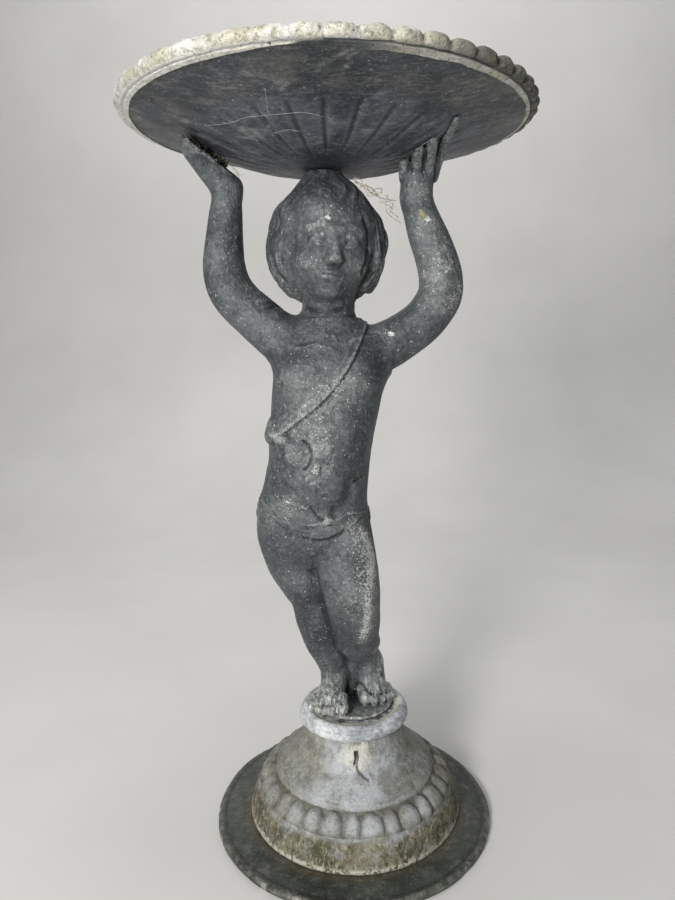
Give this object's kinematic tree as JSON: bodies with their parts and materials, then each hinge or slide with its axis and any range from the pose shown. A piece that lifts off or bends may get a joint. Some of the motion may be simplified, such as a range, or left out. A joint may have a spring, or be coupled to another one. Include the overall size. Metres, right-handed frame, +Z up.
{
  "type": "garden statue",
  "caption": "Cast garden statue of a standing child who holds up a shallow fluted bowl, on a bell-shaped base with a flat round foot.",
  "frame": {"origin": "middle of the foot disc's flat underside, on the ground", "axes": "+Z up along the statue's height; the child looks along -Y; +X to the viewer's right"},
  "size_m": [0.4032, 0.4026, 0.7515],
  "materials": {
    "foot_disc_lead": "dark weathered lead with green-black dirt",
    "base_lead": "pale weathered lead with olive lichen",
    "collar_lead": "pale bluish lead oxide",
    "figure_lead": "blue-grey weathered lead, speckled with pale oxide",
    "bowl_lead": "slate-grey weathered lead with a pale rim"
  },
  "bodies": {
    "root": {"foot_disc": "foot_disc_lead", "bell_base": "base_lead", "collar": "collar_lead", "cherub": "figure_lead", "bowl": "bowl_lead"}
  },
  "joints": []
}
